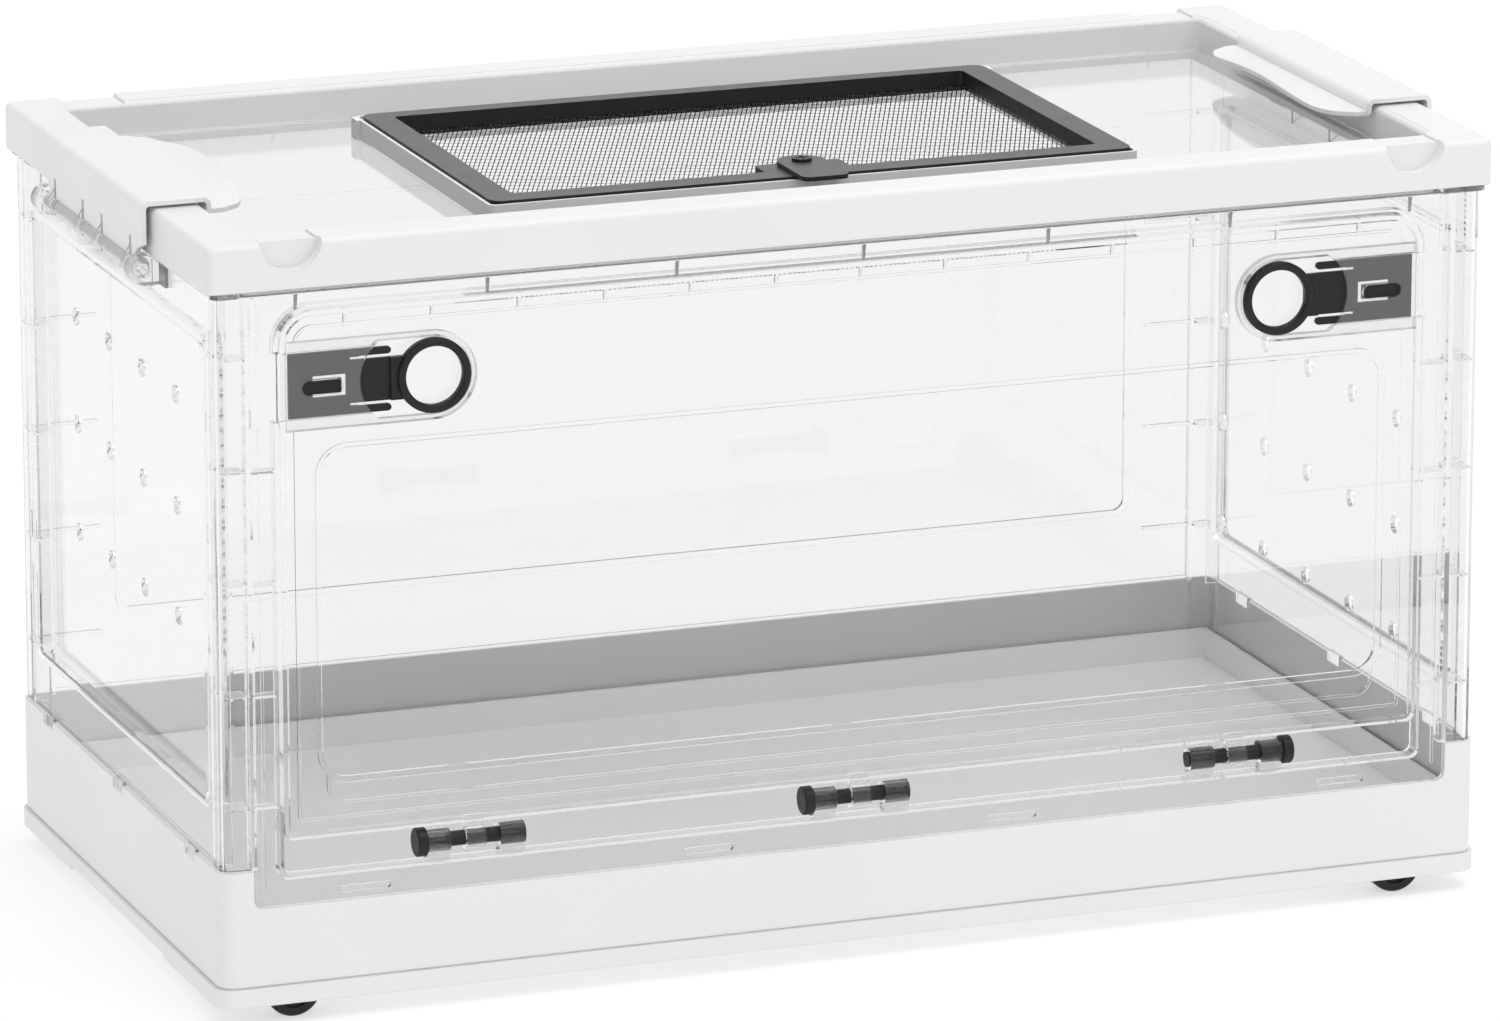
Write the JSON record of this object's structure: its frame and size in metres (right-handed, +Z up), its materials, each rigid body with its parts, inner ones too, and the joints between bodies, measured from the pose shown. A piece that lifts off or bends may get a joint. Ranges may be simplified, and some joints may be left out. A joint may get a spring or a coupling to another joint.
{
  "type": "hamster cage",
  "caption": "Clear-walled pet cage on a white wheeled base, with a drop-down front door on slide bolts and a clamped lid with a mesh window.",
  "frame": {"origin": "on the floor, under the middle of the cage", "axes": "+X along the cage's length, to the right as seen from the door; +Y from the door to the back wall; +Z up"},
  "size_m": [0.6212, 0.306, 0.3522],
  "materials": {
    "white_plastic": "satin moulded white",
    "clear_plastic": "clear polished",
    "black_plastic": "satin black",
    "window_frame_plastic": "satin dark grey",
    "wheel_plastic": "satin black",
    "steel_mesh": "dark woven wire",
    "steel_pin": "plain steel"
  },
  "bodies": {
    "cage": {"base_tray": "white_plastic", "caster_brackets": "white_plastic", "caster_axles": "steel_pin", "post_front_left": "clear_plastic", "post_front_right": "clear_plastic", "post_back_left": "clear_plastic", "post_back_right": "clear_plastic", "left_wall": "clear_plastic", "right_wall": "clear_plastic", "back_wall": "clear_plastic", "front_frame": "clear_plastic", "top_frame": "clear_plastic", "door_hinge_pins": "black_plastic", "latch_rod_left": "clear_plastic", "latch_rod_right": "clear_plastic", "rod_brackets_left": "clear_plastic", "rod_brackets_right": "clear_plastic"},
    "door": {"door_panel": "clear_plastic", "bolt_cover_left": "clear_plastic", "bolt_cover_right": "clear_plastic"},
    "bolt_left_body": {"bolt_left": "black_plastic"},
    "bolt_right_body": {"bolt_right": "black_plastic"},
    "lid": {"lid_rim": "white_plastic", "lid_panel": "clear_plastic"},
    "window": {"window_frame": "window_frame_plastic", "window_mesh": "steel_mesh", "window_pivots": "steel_pin", "turn_screw": "black_plastic"},
    "turn_latch_body": {"turn_latch": "black_plastic"},
    "end_latch_left_body": {"end_latch_left": "white_plastic"},
    "end_latch_right_body": {"end_latch_right": "white_plastic"},
    "wheel_front_left_body": {"wheel_front_left": "wheel_plastic"},
    "wheel_front_right_body": {"wheel_front_right": "wheel_plastic"},
    "wheel_back_left_body": {"wheel_back_left": "wheel_plastic"},
    "wheel_back_right_body": {"wheel_back_right": "wheel_plastic"}
  },
  "joints": [
    {"name": "wheel_front_left_spin", "type": "hinge", "parent": "cage", "child": "wheel_front_left_body", "pos_m": [-0.262, -0.139, 0.0126], "axis": [0, 1, 0], "continuous": true},
    {"name": "wheel_front_right_spin", "type": "hinge", "parent": "cage", "child": "wheel_front_right_body", "pos_m": [0.262, -0.139, 0.0126], "axis": [0, 1, 0], "continuous": true},
    {"name": "wheel_back_left_spin", "type": "hinge", "parent": "cage", "child": "wheel_back_left_body", "pos_m": [-0.262, 0.139, 0.0126], "axis": [0, 1, 0], "continuous": true},
    {"name": "wheel_back_right_spin", "type": "hinge", "parent": "cage", "child": "wheel_back_right_body", "pos_m": [0.262, 0.139, 0.0126], "axis": [0, 1, 0], "continuous": true},
    {"name": "door_hinge", "type": "hinge", "parent": "cage", "child": "door", "pos_m": [0, -0.1465, 0.074], "axis": [1, 0, 0], "range_deg": [0, 95]},
    {"name": "bolt_left_slide", "type": "slide", "parent": "door", "child": "bolt_left_body", "axis": [-1, 0, 0], "range_m": [0, 0.011]},
    {"name": "bolt_right_slide", "type": "slide", "parent": "door", "child": "bolt_right_body", "axis": [1, 0, 0], "range_m": [0, 0.011]},
    {"name": "lid_lift", "type": "slide", "parent": "cage", "child": "lid", "axis": [0, 0, 1], "range_m": [0, 0.012]},
    {"name": "window_hinge", "type": "hinge", "parent": "lid", "child": "window", "pos_m": [0, 0.0875, 0.3415], "axis": [-1, 0, 0], "range_deg": [0, 100]},
    {"name": "turn_latch_pivot", "type": "hinge", "parent": "window", "child": "turn_latch_body", "pos_m": [0, -0.075, 0.3454], "axis": [0, 0, 1], "range_deg": [-90, 90]},
    {"name": "end_latch_left_hinge", "type": "hinge", "parent": "cage", "child": "end_latch_left_body", "pos_m": [-0.304, 0, 0.322], "axis": [0, -1, 0], "range_deg": [0, 110]},
    {"name": "end_latch_right_hinge", "type": "hinge", "parent": "cage", "child": "end_latch_right_body", "pos_m": [0.304, 0, 0.322], "axis": [0, 1, 0], "range_deg": [0, 110]}
  ],
  "couplings": [
    {"joint": "end_latch_left_hinge", "follows": "lid_lift", "rad_per_m": 159.5},
    {"joint": "end_latch_right_hinge", "follows": "lid_lift", "rad_per_m": 159.5}
  ]
}
